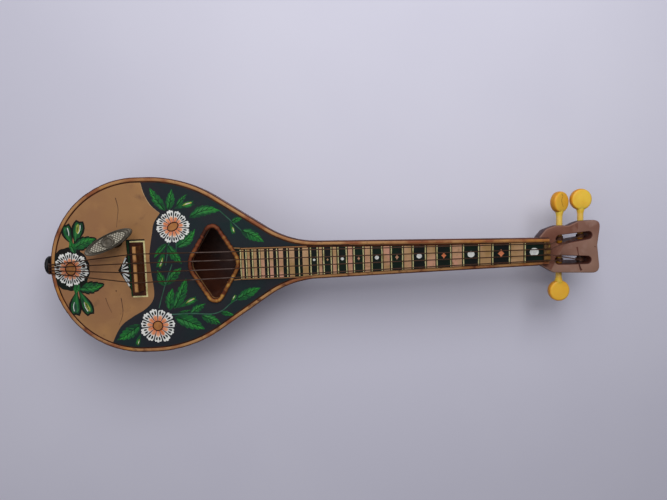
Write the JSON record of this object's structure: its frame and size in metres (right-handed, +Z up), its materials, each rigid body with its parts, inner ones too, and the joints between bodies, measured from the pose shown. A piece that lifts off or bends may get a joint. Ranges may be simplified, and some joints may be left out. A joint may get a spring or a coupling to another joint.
{
  "type": "toy mandolin",
  "caption": "Toy mandolin with a pear-shaped bowl, slotted headstock with turning pegs, printed top and a wind-up music movement turned by an oval key.",
  "frame": {"origin": "under the middle of the length, on the surface that the bowl's flat bottom stands on", "axes": "+X along the strings towards the headstock, +Z up through the soundboard, Y = 0 on the neck's centre line"},
  "size_m": [0.2119, 0.0652, 0.0341],
  "materials": {
    "shell_brown": "moulded red-brown plastic",
    "top_print": "printed tan plastic, lacquered",
    "edge_tan": "tan edging with worn gold tint",
    "bead_gold": "golden brown painted bead",
    "board_black": "black and tan printed blocks",
    "fret_cream": "cream paint",
    "nut_amber": "amber brown plastic",
    "bridge_brown": "brown plastic with a tan crest",
    "button_black": "black plastic",
    "string_steel": "dull steel wire",
    "peg_amber": "translucent amber plastic",
    "stub_dark": "dirty broken amber plastic",
    "key_metal": "die-cast metal, worn bright on the relief",
    "steel": "bright steel",
    "brass": "plain brass",
    "cast_metal": "grey cast metal"
  },
  "bodies": {
    "body": {"back_shell": "shell_brown", "neck": "shell_brown", "headstock": "shell_brown", "soundboard": "top_print", "binding": "edge_tan", "sound_hole_ring": "bead_gold", "fretboard": "board_black", "frets": "fret_cream", "nut": "nut_amber", "bridge": "bridge_brown", "tail_button": "button_black", "string_1": "string_steel", "string_2": "string_steel", "string_3": "string_steel", "string_4": "string_steel", "string_winding_4": "string_steel", "peg_stub": "stub_dark", "bedplate": "cast_metal", "movement_posts": "shell_brown", "movement_screws": "steel", "front_bracket": "brass", "rear_bracket": "brass", "comb": "steel", "comb_block": "cast_metal", "comb_screws": "steel"},
    "tuner_1": {"peg_1": "peg_amber", "string_winding_1": "string_steel"},
    "tuner_2": {"peg_2": "peg_amber", "string_winding_2": "string_steel"},
    "tuner_3": {"peg_3": "peg_amber", "string_winding_3": "string_steel"},
    "winder": {"winding_key": "key_metal", "winding_arbor": "steel", "great_wheel": "brass", "spring_barrel": "brass", "mainspring": "steel"},
    "cylinder": {"music_cylinder": "brass", "cylinder_arbor": "steel", "drive_pinion": "brass", "cylinder_wheel": "brass"},
    "governor": {"governor": "steel"}
  },
  "joints": [
    {"name": "peg_1_turn", "type": "hinge", "parent": "body", "child": "tuner_1", "pos_m": [0.09155, 0, 0.0192], "axis": [0, 1, 0], "continuous": true},
    {"name": "peg_2_turn", "type": "hinge", "parent": "body", "child": "tuner_2", "pos_m": [0.10005, 0, 0.0192], "axis": [0, 1, 0], "continuous": true},
    {"name": "peg_3_turn", "type": "hinge", "parent": "body", "child": "tuner_3", "pos_m": [0.09155, 0, 0.0192], "axis": [0, 1, 0], "continuous": true},
    {"name": "key_turn", "type": "hinge", "parent": "body", "child": "winder", "pos_m": [-0.07855, 0.0098, 0.02], "axis": [0, 0, 1], "continuous": true},
    {"name": "cylinder_spin", "type": "hinge", "parent": "body", "child": "cylinder", "pos_m": [-0.07855, 0, 0.01833], "axis": [0, 1, 0], "continuous": true},
    {"name": "governor_spin", "type": "hinge", "parent": "body", "child": "governor", "pos_m": [-0.08495, 0, 0.01833], "axis": [0, 1, 0], "continuous": true}
  ],
  "couplings": [
    {"joint": "cylinder_spin", "follows": "key_turn", "ratio": -3},
    {"joint": "governor_spin", "follows": "key_turn", "ratio": 10.5}
  ]
}
